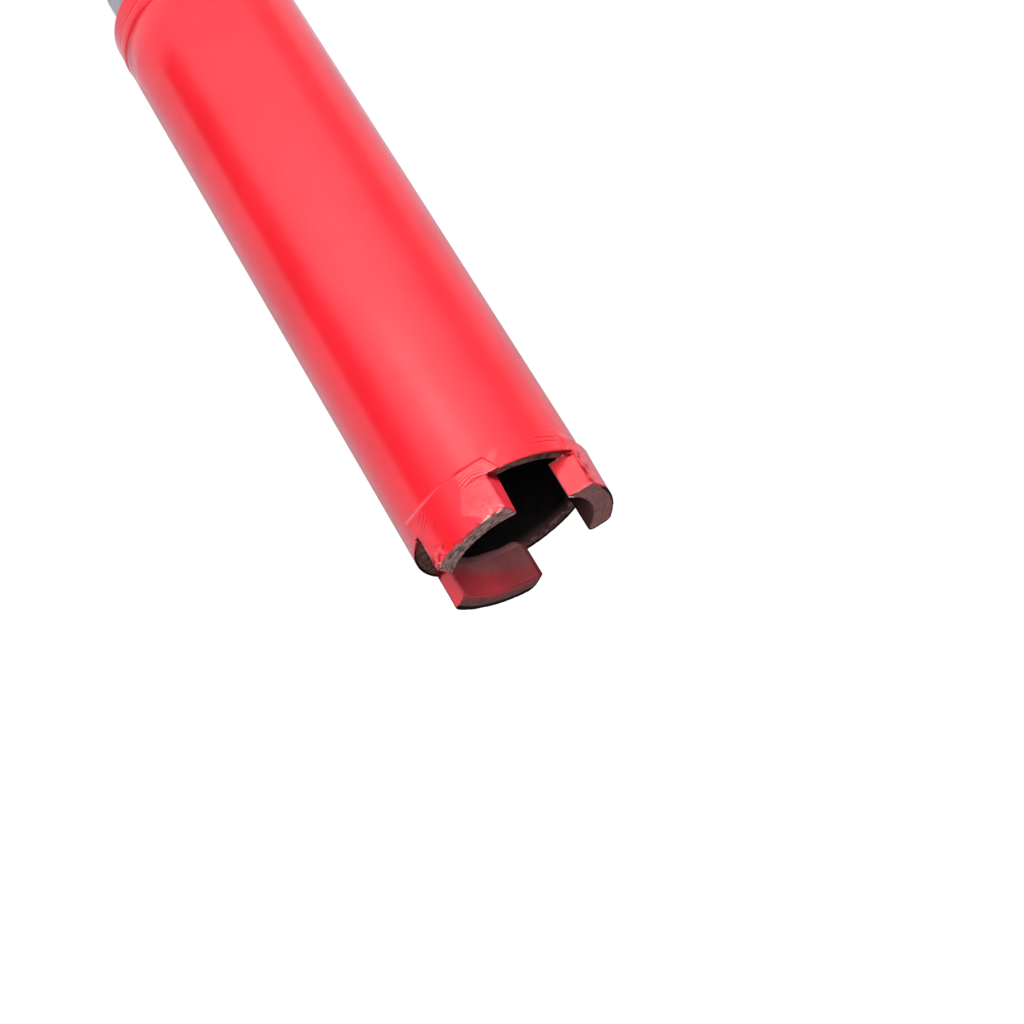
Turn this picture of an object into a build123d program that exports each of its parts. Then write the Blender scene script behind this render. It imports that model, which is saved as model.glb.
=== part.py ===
from build123d import *
import math
import os

os.makedirs("parts", exist_ok=True)

# Diamond core bit, 42 mm nominal, 150 mm drilling depth.
# Millimetres. It stands on its hub: origin at the centre of the hub's face,
# +Z up the barrel to the cutting crown.

# --- driving dimensions -------------------------------------------------
TOTAL_H = 176.0          # hub face to the tips of the segments
BARREL_R = 20.6          # outside of the tube
BARREL_RI = 17.95        # inside of the tube
CROWN_H = 8.6            # tips to the end of the tube

SEG_LEN = 20.0           # along the chord
SEG_R_OUT = 21.0         # kerf: 42 mm hole
SEG_T = 4.6              # radial thickness
SEG_EDGE_OUT = 0.4       # rounding of the upright outer edges
SEG_EDGE_IN = 0.6        # rounding of the upright inner edges
TIP_EDGE = 0.25          # worn edge round the cutting face
# angle about +Z, radial set and skew about its own middle of each segment, as jigged by hand
SEGMENTS = ((-65.4, 0.12, 0.0), (178.9, -0.04, 2.1), (54.5, 0.12, -2.3))

BRAZE_GAP = 0.2          # filler between the segment's back and the tube's end
PAD_R = (21.1, 21.45, 21.45)  # ground-off pad of filler on the outside of the tube, at each segment
PAD_FLAT = 2.5           # height of the pad's full thickness above the tube's end
PAD_TOP = 4.6            # height where the pad runs out
PAD_SIDE = 5.2           # degrees the pad reaches past the segment on each side
FILLET_IN = 1.5          # filler fillet behind the segment's inner overhang

BOSS_R = 17.0            # hub boss
BOSS_H = 14.0
FLAT_AF = 30.0           # across the two wrench flats
FLAT_H = 11.0            # height of the flats
SHOULDER_H = 6.0         # hub shoulder, flush with the tube
SPIGOT_H = 6.0           # hub spigot inside the tube
THREAD_R = 9.316         # G 1/2 female thread, minor radius (18.631 mm)
THREAD_MAJOR_R = 10.478  # G 1/2 major radius, for the mouth chamfer
THREAD_LEN = 19.0
THROAT_R = 6.5           # water passage above the thread

WELD_PREP = 1.4          # chamfers that make the groove of the weld
WELD_CROWN = 0.22        # how far the bead stands proud

# --- derived ------------------------------------------------------------
SHOULDER_Z = BOSS_H + SHOULDER_H          # tube starts here
BARREL_TOP = TOTAL_H - CROWN_H
SEG_H = CROWN_H - BRAZE_GAP
SEG_BASE = TOTAL_H - SEG_H
SEG_R_IN = SEG_R_OUT - SEG_T
SEG_R_MID = SEG_R_OUT - SEG_T / 2
SEG_HALF = math.degrees(math.asin(SEG_LEN / 2 / SEG_R_OUT))


def seat(angle, shift, skew, reach):
    """Place on a segment's own middle line, reach mm out from the centre of its arcs."""
    a, b = math.radians(angle), math.radians(angle + skew)
    mid = SEG_R_MID + shift
    out = reach - SEG_R_MID
    return Location((mid * math.cos(a) + out * math.cos(b), mid * math.sin(a) + out * math.sin(b), 0), (0, 0, angle + skew))


# --- barrel: one steel tube ----------------------------------------------
with BuildPart() as barrel:
    with BuildSketch(Plane.XY.offset(SHOULDER_Z)):
        Circle(BARREL_R)
        Circle(BARREL_RI, mode=Mode.SUBTRACT)
    extrude(amount=BARREL_TOP - SHOULDER_Z)
    # weld groove at the hub end
    chamfer(
        barrel.edges().filter_by(GeomType.CIRCLE).group_by(Axis.Z)[0].sort_by(SortBy.LENGTH)[-1],
        length=WELD_PREP,
    )
barrel.part.label = "barrel"
export_step(barrel.part, "parts/barrel.step")


# --- segments: sintered blocks with curved faces and parallel ends --------
for number, (angle, shift, skew) in enumerate(SEGMENTS, start=1):
    with BuildPart() as segment:
        with BuildSketch(Plane.XY.offset(SEG_BASE)):
            with Locations(seat(angle, shift, skew, 0)):
                Circle(SEG_R_OUT)
                Circle(SEG_R_IN, mode=Mode.SUBTRACT)
            with Locations(seat(angle, shift, skew, SEG_R_OUT)):
                Rectangle(22.0, SEG_LEN, mode=Mode.INTERSECT)
        extrude(amount=SEG_H)
        upright = segment.edges().filter_by(Axis.Z).sort_by(lambda e: math.hypot(e.center().X, e.center().Y))
        fillet(upright[:2], radius=SEG_EDGE_IN)
        upright = segment.edges().filter_by(Axis.Z).sort_by(lambda e: math.hypot(e.center().X, e.center().Y))
        fillet(upright[-2:], radius=SEG_EDGE_OUT)
        fillet(segment.faces().sort_by(Axis.Z)[-1].edges(), radius=TIP_EDGE)
    segment.part.label = f"segment_{number}"
    export_step(segment.part, f"parts/segment_{number}.step")
    print(segment.part.label, round(segment.part.volume, 2), segment.part.bounding_box())


# --- braze joints: layer under each segment, pad outside, fillet inside ----
for number, (angle, shift, skew) in enumerate(SEGMENTS, start=1):
    half = SEG_HALF + PAD_SIDE
    with BuildPart() as joint:
        # outside pad, turned about the axis of the tube
        with BuildSketch(Plane.XZ.rotated((0, 0, angle - half))):
            with BuildLine():
                Polyline(
                    (BARREL_R, BARREL_TOP),
                    (SEG_R_OUT, BARREL_TOP),
                    (PAD_R[number - 1], BARREL_TOP - PAD_FLAT),
                    (BARREL_R, BARREL_TOP - PAD_TOP),
                    close=True,
                )
            make_face()
        revolve(axis=Axis.Z, revolution_arc=2 * half)
        # layer of filler between the segment's back and the tube's end
        with BuildSketch(Plane.XY.offset(BARREL_TOP)):
            with Locations(seat(angle, shift, skew, 0)):
                Circle(SEG_R_OUT)
                Circle(SEG_R_IN + 0.3, mode=Mode.SUBTRACT)
            with Locations(seat(angle, shift, skew, SEG_R_OUT)):
                Rectangle(20.0, SEG_LEN - 1.0, mode=Mode.INTERSECT)
        extrude(amount=BRAZE_GAP)
        # fillet in the corner under the overhang, inside the tube
        inner_half = SEG_HALF - 3.0
        with BuildSketch(Plane.XZ.rotated((0, 0, angle - inner_half))):
            with BuildLine():
                Line((BARREL_RI, BARREL_TOP), (SEG_R_IN + 0.6, BARREL_TOP))
                ThreePointArc(
                    (SEG_R_IN + 0.6, BARREL_TOP),
                    (BARREL_RI - 0.34, BARREL_TOP - 0.34),
                    (BARREL_RI, BARREL_TOP - FILLET_IN),
                )
                Line((BARREL_RI, BARREL_TOP - FILLET_IN), (BARREL_RI, BARREL_TOP))
            make_face()
        revolve(axis=Axis.Z, revolution_arc=2 * inner_half)
    joint.part.label = f"braze_joint_{number}"
    export_step(joint.part, f"parts/braze_joint_{number}.step")
    print(joint.part.label, round(joint.part.volume, 2), len(joint.part.solids()), joint.part.bounding_box())


# --- hub: one turned piece with spigot, shoulder, boss and female thread ---
with BuildPart() as hub:
    with BuildSketch(Plane.XZ):
        with BuildLine():
            Polyline(
                (THREAD_R, 0),
                (BOSS_R, 0),
                (BOSS_R, BOSS_H),
                (BARREL_R, BOSS_H),
                (BARREL_R, SHOULDER_Z - WELD_PREP),
                (BARREL_R - WELD_PREP, SHOULDER_Z),
                (BARREL_RI, SHOULDER_Z),
                (BARREL_RI, SHOULDER_Z + SPIGOT_H),
                (THROAT_R, SHOULDER_Z + SPIGOT_H),
                (THROAT_R, THREAD_LEN + 2.0),
                (THREAD_R, THREAD_LEN),
                close=True,
            )
        make_face()
    revolve(axis=Axis.Z)
    # two wrench flats on the boss
    with BuildSketch(Plane.XY):
        with Locations((0, FLAT_AF / 2 + 5.0), (0, -FLAT_AF / 2 - 5.0)):
            Rectangle(2 * BOSS_R + 4.0, 10.0)
    extrude(amount=FLAT_H, mode=Mode.SUBTRACT)
    # mouth of the thread
    chamfer(
        hub.edges().filter_by(GeomType.CIRCLE).filter_by(lambda e: abs(e.radius - THREAD_R) < 0.01 and abs(e.center().Z) < 0.01),
        length=THREAD_MAJOR_R - THREAD_R + 0.2,
    )
    # broken edges of the shoulder and the spigot
    chamfer(
        hub.edges().filter_by(GeomType.CIRCLE).filter_by(lambda e: abs(e.radius - BARREL_R) < 0.01 and abs(e.center().Z - BOSS_H) < 0.01),
        length=0.8,
    )
    chamfer(
        hub.edges().filter_by(GeomType.CIRCLE).filter_by(lambda e: abs(e.radius - BARREL_RI) < 0.01 and abs(e.center().Z - SHOULDER_Z - SPIGOT_H) < 0.01),
        length=0.8,
    )
    # broken outer edge of the hub's face, round the boss and along the flats
    chamfer(
        hub.faces().sort_by(Axis.Z)[0].outer_wire().edges(),
        length=0.6,
    )
hub.part.label = "hub"
export_step(hub.part, "parts/hub.step")


# --- weld ring between hub and tube -----------------------------------------
with BuildPart() as hub_weld:
    with BuildSketch(Plane.XZ):
        with BuildLine():
            Line((BARREL_R, SHOULDER_Z - WELD_PREP), (BARREL_R - WELD_PREP, SHOULDER_Z))
            Line((BARREL_R - WELD_PREP, SHOULDER_Z), (BARREL_R, SHOULDER_Z + WELD_PREP))
            ThreePointArc(
                (BARREL_R, SHOULDER_Z + WELD_PREP),
                (BARREL_R + WELD_CROWN, SHOULDER_Z),
                (BARREL_R, SHOULDER_Z - WELD_PREP),
            )
        make_face()
    revolve(axis=Axis.Z)
hub_weld.part.label = "hub_weld"
export_step(hub_weld.part, "parts/hub_weld.step")
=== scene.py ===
import math
import bpy
import numpy as np
from mathutils import Matrix, Vector


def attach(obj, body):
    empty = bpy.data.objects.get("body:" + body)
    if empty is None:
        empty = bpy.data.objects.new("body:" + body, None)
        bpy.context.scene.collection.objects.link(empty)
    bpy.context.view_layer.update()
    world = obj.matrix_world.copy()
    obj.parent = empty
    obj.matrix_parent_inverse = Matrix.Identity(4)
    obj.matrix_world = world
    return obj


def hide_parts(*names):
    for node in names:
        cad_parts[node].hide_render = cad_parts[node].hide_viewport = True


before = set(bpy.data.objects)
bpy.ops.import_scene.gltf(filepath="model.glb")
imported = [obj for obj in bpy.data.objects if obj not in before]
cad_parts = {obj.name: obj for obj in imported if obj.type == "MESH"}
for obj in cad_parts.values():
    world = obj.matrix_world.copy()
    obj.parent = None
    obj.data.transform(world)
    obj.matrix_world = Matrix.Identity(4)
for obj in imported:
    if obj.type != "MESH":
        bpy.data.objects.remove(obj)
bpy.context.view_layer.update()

# ---------------------------------------------------------------- dimensions
MM = 0.001
TIP_Z = 176.0            # tips of the segments, mm above the hub's face
END_Z = 167.4            # end of the tube
BASE_Z = 167.6           # back of the segments
TUBE_R, TUBE_RI = 20.6, 17.95
SEG_L, SEG_R, SEG_T = 20.0, 21.0, 4.6
# angle about +Z, radial set and skew of each segment
SEGS = {1: (-65.4, 0.12, 0.0), 2: (178.9, -0.04, 2.1), 3: (54.5, 0.12, -2.3)}
SEG_MID = SEG_R - SEG_T / 2
RIDGE = 12.0             # the pad's upper ridge, mm below the tips


# ---------------------------------------------------------------- noise
def _hash(ix, iy, iz, seed):
    h = (ix.astype(np.int64) * 73856093) ^ (iy.astype(np.int64) * 19349663) ^ (iz.astype(np.int64) * 83492791) ^ (seed * 2654435761)
    h = (h ^ (h >> 13)) * 1274126177
    h = (h ^ (h >> 16)) & 0xFFFFFF
    return h / float(0x7FFFFF) - 1.0


def vnoise(p, seed=0):
    """Smooth lattice noise from -1 to 1 at points p (N, 3)."""
    p = np.asarray(p, float)
    i = np.floor(p).astype(np.int64)
    f = p - i
    f = f * f * f * (f * (f * 6 - 15) + 10)
    out = 0
    for dx in (0, 1):
        wx = f[:, 0] if dx else 1 - f[:, 0]
        for dy in (0, 1):
            wy = f[:, 1] if dy else 1 - f[:, 1]
            for dz in (0, 1):
                wz = f[:, 2] if dz else 1 - f[:, 2]
                out = out + wx * wy * wz * _hash(i[:, 0] + dx, i[:, 1] + dy, i[:, 2] + dz, seed)
    return out


def fbm(p, seed=0, octaves=3):
    out, amp, tot = 0, 1.0, 0.0
    for k in range(octaves):
        out = out + amp * vnoise(np.asarray(p) * 2.03 ** k + 17.3 * k, seed + k)
        tot += amp
        amp *= 0.5
    return out / tot


def smooth(a, b, x):
    t = np.clip((np.asarray(x, float) - a) / (b - a), 0, 1)
    return t * t * (3 - 2 * t)


def bump(x, c, w):
    return np.exp(-((np.asarray(x, float) - c) / w) ** 2)


# ---------------------------------------------------------------- mesh making
def build(name, verts, faces, mats, index=None, replaces=(), marks=None):
    """A mesh piece from points in mm that rides on the root and stands for CAD nodes. marks are numbers painted on its points."""
    me = bpy.data.meshes.new(name)
    me.from_pydata((np.asarray(verts) * MM).tolist(), [], [list(map(int, f)) for f in faces])
    for m in mats:
        me.materials.append(m)
    if index is not None:
        me.polygons.foreach_set("material_index", np.asarray(index, np.int32))
    me.polygons.foreach_set("use_smooth", [True] * len(me.polygons))
    for key, values in (marks or {}).items():
        at = me.attributes.new(key, "FLOAT", "POINT")
        at.data.foreach_set("value", np.asarray(values, np.float32))
    me.update()
    o = bpy.data.objects.new(name, me)
    bpy.context.scene.collection.objects.link(o)
    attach(o, "root")
    if replaces:
        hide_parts(*replaces)
    return o


def normals_of(v, f):
    """Vertex normals, for quads."""
    f = np.asarray(f)
    a, b, c, d = v[f[:, 0]], v[f[:, 1]], v[f[:, 2]], v[f[:, 3]]
    n = np.cross(c - a, d - b)
    out = np.zeros_like(v)
    for k in range(4):
        np.add.at(out, f[:, k], n)
    ln = np.linalg.norm(out, axis=1, keepdims=True)
    return out / np.maximum(ln, 1e-12)


def lathe(rings, count, radius=None):
    """Closed surface turned from a closed loop of (r, z). radius(r, z, phi) may change r. Returns points, quads and the ring number of each quad."""
    phi = np.arange(count) / count * 2 * math.pi
    v = []
    for r, z in rings:
        rr = np.full(count, float(r)) if radius is None else radius(r, z, phi)
        v.append(np.stack([rr * np.cos(phi), rr * np.sin(phi), np.full(count, float(z))], 1))
    v = np.concatenate(v)
    n = len(rings)
    k = np.arange(n)[:, None]
    j = np.arange(count)[None, :]
    k2, j2 = (k + 1) % n, (j + 1) % count
    f = np.stack([k * count + j, k * count + j2, k2 * count + j2, k2 * count + j], 2).reshape(-1, 4)
    ring = np.repeat(np.arange(n), count)
    return v, f, ring


def mean_of(values, faces):
    """Mean of a point value over each quad."""
    return np.asarray(values, float)[np.asarray(faces)].mean(1)


def arc(cx, cz, r, a0, a1, n):
    return [(cx + r * math.cos(math.radians(a)), cz + r * math.sin(math.radians(a))) for a in np.linspace(a0, a1, n)]


# ---------------------------------------------------------------- materials
class Mat:
    """Short words for building a node tree."""

    def __init__(self, name):
        self.m = bpy.data.materials.new(name)
        self.m.use_nodes = True
        self.t = self.m.node_tree
        self.t.nodes.clear()
        self.out = self.t.nodes.new("ShaderNodeOutputMaterial")
        self.bsdf = self.t.nodes.new("ShaderNodeBsdfPrincipled")
        self.t.links.new(self.bsdf.outputs[0], self.out.inputs[0])
        self.co = self.t.nodes.new("ShaderNodeTexCoord").outputs["Object"]
        sep = self.t.nodes.new("ShaderNodeSeparateXYZ")
        self.t.links.new(self.co, sep.inputs[0])
        self.x, self.y, self.z = sep.outputs

    def put(self, socket, value):
        if hasattr(value, "links") or isinstance(value, bpy.types.NodeSocket):
            self.t.links.new(value, socket)
        else:
            socket.default_value = value

    def mark(self, name):
        n = self.t.nodes.new("ShaderNodeAttribute")
        n.attribute_name = name
        return n.outputs["Fac"]

    def math(self, op, a, b=None, c=None):
        n = self.t.nodes.new("ShaderNodeMath")
        n.operation = op
        for i, s in enumerate((a, b, c)):
            if s is not None:
                self.put(n.inputs[i], s)
        return n.outputs[0]

    def polar(self):
        """Radius and angle about the axis, in metres and radians."""
        r = self.math("SQRT", self.math("ADD", self.math("MULTIPLY", self.x, self.x), self.math("MULTIPLY", self.y, self.y)))
        return r, self.math("ARCTAN2", self.y, self.x)

    def scaled(self, sx, sy, sz):
        n = self.t.nodes.new("ShaderNodeMapping")
        n.inputs["Scale"].default_value = (sx, sy, sz)
        self.t.links.new(self.co, n.inputs["Vector"])
        return n.outputs[0]

    def xyz(self, a, b, c):
        n = self.t.nodes.new("ShaderNodeCombineXYZ")
        for i, s in enumerate((a, b, c)):
            self.put(n.inputs[i], s)
        return n.outputs[0]

    def noise(self, scale, detail=3.0, rough=0.5, at=None, distortion=0.0):
        n = self.t.nodes.new("ShaderNodeTexNoise")
        n.inputs["Scale"].default_value = scale
        n.inputs["Detail"].default_value = detail
        n.inputs["Roughness"].default_value = rough
        n.inputs["Distortion"].default_value = distortion
        self.t.links.new(self.co if at is None else at, n.inputs["Vector"])
        return n.outputs["Fac"] if "Fac" in n.outputs else n.outputs[0]

    def cells(self, scale, at=None, out="Distance"):
        n = self.t.nodes.new("ShaderNodeTexVoronoi")
        n.inputs["Scale"].default_value = scale
        self.t.links.new(self.co if at is None else at, n.inputs["Vector"])
        return n.outputs[out]

    def ramp(self, x, a, b, lo=0.0, hi=1.0):
        n = self.t.nodes.new("ShaderNodeMapRange")
        n.interpolation_type = "SMOOTHSTEP"
        self.put(n.inputs["Value"], x)
        for k, s in (("From Min", a), ("From Max", b), ("To Min", lo), ("To Max", hi)):
            self.put(n.inputs[k], s)
        return n.outputs["Result"]

    def mix(self, f, a, b, kind="MIX"):
        n = self.t.nodes.new("ShaderNodeMix")
        n.data_type = "RGBA"
        n.blend_type = kind
        self.put(n.inputs[0], f)
        for s, v in ((n.inputs[6], a), (n.inputs[7], b)):
            self.put(s, (*v, 1.0) if isinstance(v, tuple) and len(v) == 3 else v)
        return n.outputs[2]

    def mixf(self, f, a, b):
        n = self.t.nodes.new("ShaderNodeMix")
        n.data_type = "FLOAT"
        self.put(n.inputs[0], f)
        self.put(n.inputs[2], a)
        self.put(n.inputs[3], b)
        return n.outputs[0]

    def bump(self, height, strength, distance, normal=None):
        n = self.t.nodes.new("ShaderNodeBump")
        n.inputs["Strength"].default_value = strength
        n.inputs["Distance"].default_value = distance
        self.t.links.new(height, n.inputs["Height"])
        if normal is not None:
            self.t.links.new(normal, n.inputs["Normal"])
        return n.outputs[0]

    def finish(self, color, rough, normal=None, metal=0.0):
        self.put(self.bsdf.inputs["Base Color"], color)
        self.put(self.bsdf.inputs["Roughness"], rough)
        self.put(self.bsdf.inputs["Metallic"], metal)
        if normal is not None:
            self.t.links.new(normal, self.bsdf.inputs["Normal"])
        return self.m


RED = (0.74, 0.0145, 0.027)
RED_DEEP = (0.66, 0.0110, 0.021)
PALE = (0.90, 0.30, 0.31)
DEEP = (0.40, 0.0075, 0.015)
CREVICE_SHADE = (0.12, 0.003, 0.005)


def paint_parts(k):
    """Colour, roughness and normal of the sprayed paint, shared by every painted piece so that it runs on across the joints."""
    tone = k.noise(55.0, 3.0, 0.55)
    col = k.mix(k.ramp(tone, 0.35, 0.75), RED, RED_DEEP)
    # dust specks caught in the paint
    speck = k.ramp(k.cells(420.0), 0.045, 0.06, 1.0, 0.0)
    rare = k.ramp(k.noise(38.0, 1.0), 0.60, 0.66)
    speck = k.math("MULTIPLY", speck, rare)
    col = k.mix(k.math("MULTIPLY", speck, 0.6), col, (0.18, 0.01, 0.012))
    # pale and dark places from the tone mark: mostly painted highlight and painted shade, with some paint rubbed thin
    # and some runs
    light_and_wear = k.mark("tone")
    fine = k.noise(1700.0, 3.0, 0.6)
    edge = k.ramp(fine, 0.3, 0.7, 0.75, 1.15)
    col = k.mix(k.ramp(k.math("MULTIPLY", light_and_wear, edge), 0.0, 1.0), col, PALE)
    dark = k.math("MULTIPLY", k.math("MULTIPLY", light_and_wear, -1.0), edge)
    col = k.mix(k.ramp(dark, 0.0, 0.5), col, DEEP)
    col = k.mix(k.ramp(dark, 0.5, 1.0), col, CREVICE_SHADE)
    # black painted shade along the rims that are turned away
    black_rim_shade = k.mark("black_rim_shade")
    col = k.mix(black_rim_shade, col, (0.012, 0.006, 0.006))
    rough = k.ramp(k.noise(140.0, 4.0, 0.6), 0.25, 0.8, 0.15, 0.23)
    rough = k.math("ADD", rough, k.math("MULTIPLY", k.math("ABSOLUTE", light_and_wear), 0.12))
    rough = k.mixf(black_rim_shade, rough, 0.6)
    peel = k.noise(900.0, 2.0, 0.5)
    swell = k.noise(110.0, 2.0, 0.5)
    n = k.bump(swell, 0.08, 0.0006)
    n = k.bump(peel, 0.045, 0.00012, n)
    return col, rough, n


def paint(name="red_paint", gloss=0.5):
    k = Mat(name)
    col, rough, n = paint_parts(k)
    k.bsdf.inputs["IOR"].default_value = 1.5
    k.bsdf.inputs["Specular IOR Level"].default_value = gloss
    return k.finish(col, rough, n)


def rim_shade_black():
    """Black painted shade along rims that are turned away, on the burr along the sawn edge: near-black, dull and
    grainy.
    """
    k = Mat("rim_shade_black_mat")
    g = k.noise(1300.0, 4.0, 0.65)
    col = k.mix(k.ramp(g, 0.40, 0.70), (0.0022, 0.0012, 0.0012), (0.020, 0.008, 0.007))
    col = k.mix(k.math("MULTIPLY", k.ramp(k.noise(500.0, 2.0), 0.58, 0.70), 0.5), col, (0.055, 0.020, 0.018))
    k.bsdf.inputs["Specular IOR Level"].default_value = 0.04
    return k.finish(col, k.ramp(g, 0.3, 0.7, 0.75, 0.95), k.bump(g, 0.6, 0.0003))


def tube_end():
    """Sawn end of the tube: dark steel under run paint, bright here and there, with a band of painted shade inside its
    outer edge and black painted shade along some rims.
    """
    k = Mat("tube_end")
    g = k.noise(1500.0, 4.0, 0.65)
    lump = k.noise(620.0, 3.0, 0.6)
    col = k.mix(k.ramp(lump, 0.42, 0.57), (0.020, 0.0050, 0.0055), (0.118, 0.054, 0.052))
    col = k.mix(k.math("MULTIPLY", k.ramp(k.noise(480.0, 2.0), 0.55, 0.66), 0.75), col, (0.052, 0.036, 0.022))
    col = k.mix(k.math("MULTIPLY", k.ramp(k.noise(760.0, 2.0, 0.6), 0.56, 0.66), 0.6), col, (0.060, 0.0040, 0.0065))
    col = k.mix(k.math("MULTIPLY", k.ramp(g, 0.60, 0.70), 0.45), col, (0.20, 0.13, 0.125))
    # painted shade: a dark maroon band along the outer part of the sawn end
    col = k.mix(k.mark("painted_end_shade"), col, (0.115, 0.0045, 0.0065))
    over = k.mark("over")
    red, rough_p, np_ = paint_parts(k)
    col = k.mix(over, col, red)
    col = k.mix(k.mark("black_rim_shade"), col, (0.008, 0.004, 0.004))
    rough = k.mixf(over, k.ramp(g, 0.3, 0.7, 0.5, 0.78), 0.25)
    n = k.bump(g, 0.6, 0.0003, np_)
    k.bsdf.inputs["Specular IOR Level"].default_value = 0.22
    return k.finish(col, rough, n)


def tube_inside():
    """Inside of the tube: black scale, brown near the mouth, partly overspray and partly painted light that falls off
    into the bore.
    """
    k = Mat("tube_inside")
    g = k.noise(320.0, 4.0, 0.6)
    col = k.mix(k.ramp(g, 0.35, 0.75), (0.0022, 0.0016, 0.0018), (0.0058, 0.0040, 0.0040))
    # brown near the mouth, black further in: partly overspray, partly painted light fading into the bore
    mouth = k.ramp(k.math("ADD", k.z, k.math("MULTIPLY", g, 0.0012)), 0.1650, 0.1680)
    mouth = k.math("MULTIPLY", mouth, mouth)
    col = k.mix(mouth, col, (0.052, 0.024, 0.023))
    n = k.bump(g, 0.35, 0.0003)
    k.bsdf.inputs["Specular IOR Level"].default_value = 0.08
    return k.finish(col, k.ramp(g, 0.3, 0.7, 0.7, 0.9), n)


def segment_mat(number, metal, inner_root, inner_tip, slant, place="painted", gloss=0.5):
    """Painted sides, bare sintered cutting face, chipped paint along the edges. The same colours for each place, with its own gloss."""
    k = Mat(f"segment_{place}_{number}")
    col, rough, n = paint_parts(k)
    r, a = k.polar()
    fine = k.noise(2600.0, 3.0, 0.6)
    mid = k.noise(420.0, 3.0, 0.6)
    # painted light: a brighter red on the lit side of segment 1
    col = k.mix(k.mark("painted_side_light"), col, (0.97, 0.050, 0.078))
    # inner side: thin overspray over brown matrix
    inside = k.mark("inner")
    along = k.math("ADD", k.z, k.math("MULTIPLY", k.mark("across"), slant))
    along = k.math("ADD", along, k.math("MULTIPLY", k.math("SUBTRACT", mid, 0.5), 0.0040))
    thin = k.mix(k.ramp(along, 0.1685, 0.1728), inner_root, inner_tip)
    thin = k.mix(k.math("MULTIPLY", k.ramp(k.noise(900.0, 3.0), 0.45, 0.8), 0.30), thin, (0.06, 0.02, 0.022))
    if number == 3:
        # painted shade across the inner face of segment 3, deeper towards one side
        shade_across = k.ramp(k.mark("across"), -0.001, 0.006)
        thin = k.mix(k.math("MULTIPLY", shade_across, 0.55), thin, (0.060, 0.010, 0.012))
    # painted shade on the inner faces from the dark tone mark
    thin = k.mix(k.ramp(k.math("MULTIPLY", k.mark("tone"), -1.0), 0.0, 1.0), thin, (0.02, 0.006, 0.008))
    thin = k.mix(k.mark("black_rim_shade"), thin, (0.010, 0.005, 0.006))
    col = k.mix(inside, col, thin)
    rough = k.mixf(inside, rough, 0.55)
    # bare cutting face
    bare = k.ramp(k.math("ADD", k.mark("bare"), k.math("MULTIPLY", k.math("SUBTRACT", fine, 0.5), 0.5)), 0.42, 0.58)
    streak = k.noise(1.0, 4.0, 0.7, at=k.xyz(k.math("MULTIPLY", r, 1250.0 if number == 1 else 1900.0), k.math("MULTIPLY", a, 10.0), 0.0))
    broad = k.noise(260.0, 2.0, 0.5)
    low, high = {1: (0.30, 1.70), 2: (0.72, 1.25), 3: (0.62, 1.30)}[number]
    matrix = k.mix(k.ramp(streak, *((0.38, 0.63) if number == 1 else (0.36, 0.64))), tuple(c * low for c in metal), tuple(c * high for c in metal))
    matrix = k.mix(k.math("MULTIPLY", k.ramp(broad, 0.5, 0.7), 0.5), matrix, (metal[0] * 1.25, metal[1] * 1.25, metal[2] * 1.45))
    matrix = k.mix(k.math("MULTIPLY", k.ramp(fine, 0.5, 0.75), 0.5), matrix, tuple(c * 0.40 for c in metal))
    grit = k.ramp(k.cells(1500.0), 0.16, 0.24, 1.0, 0.0)
    grit = k.math("MULTIPLY", grit, k.ramp(k.noise(1100.0, 1.0), 0.52, 0.6))
    matrix = k.mix(k.math("MULTIPLY", grit, 0.5), matrix, (0.36, 0.32, 0.28))
    matrix = k.mix(k.mark("stain"), matrix, (0.30, 0.030, 0.038))
    matrix = k.mix(k.mark("black_rim_shade"), matrix, (0.008, 0.004, 0.004))
    col = k.mix(bare, col, matrix)
    rough = k.mixf(bare, rough, k.ramp(streak, 0.3, 0.7, 0.5, 0.75))
    # pale broken edge of the paint, with painted highlights along some edges
    fleck = k.ramp(k.math("ADD", k.mark("pale"), k.math("MULTIPLY", k.math("SUBTRACT", fine, 0.5), 0.6)), 0.40, 0.62)
    col = k.mix(fleck, col, (0.86, 0.56, 0.50))
    n = k.bump(k.math("MULTIPLY", streak, bare), 0.5, 0.00030, n)
    n = k.bump(k.math("MULTIPLY", fine, bare), 0.5, 0.00016, n)
    k.bsdf.inputs["Specular IOR Level"].default_value = gloss
    return k.finish(col, rough, n)


def braze_mat():
    """Filler seen inside the tube: thin overspray on a smooth bead, with painted shade (near black) and painted
    highlight (pale) from the tone mark.
    """
    k = Mat("braze_filler")
    g = k.noise(420.0, 3.0, 0.6)
    col = k.mix(k.ramp(g, 0.40, 0.70), (0.215, 0.072, 0.076), (0.155, 0.048, 0.052))
    col = k.mix(k.ramp(k.math("MULTIPLY", k.mark("tone"), -1.0), 0.0, 1.0), col, (0.010, 0.005, 0.006))
    col = k.mix(k.ramp(k.mark("tone"), 0.0, 1.0), col, (0.50, 0.26, 0.27))
    return k.finish(col, k.ramp(g, 0.3, 0.7, 0.45, 0.6), k.bump(g, 0.3, 0.0003))


def steel(name, tone=(0.50, 0.49, 0.48)):
    """Turned steel with fine tool marks round the axis, light oil stain and worn edges."""
    k = Mat(name)
    r, a = k.polar()
    fine = k.noise(1.0, 2.0, 0.6, at=k.xyz(k.math("MULTIPLY", r, 9000.0), k.math("MULTIPLY", a, 0.6), k.math("MULTIPLY", k.z, 9000.0)))
    stain = k.noise(130.0, 5.0, 0.6)
    col = k.mix(k.ramp(stain, 0.35, 0.7), tone, tuple(c * 0.62 for c in tone))
    col = k.mix(k.math("MULTIPLY", k.ramp(k.noise(420.0, 4.0, 0.7), 0.6, 0.75), 0.4), col, (0.16, 0.10, 0.07))
    rough = k.ramp(stain, 0.3, 0.75, 0.26, 0.46)
    n = k.bump(fine, 0.30, 0.00010)
    return k.finish(col, rough, n, 1.0)


M_PAINT = paint()
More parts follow.
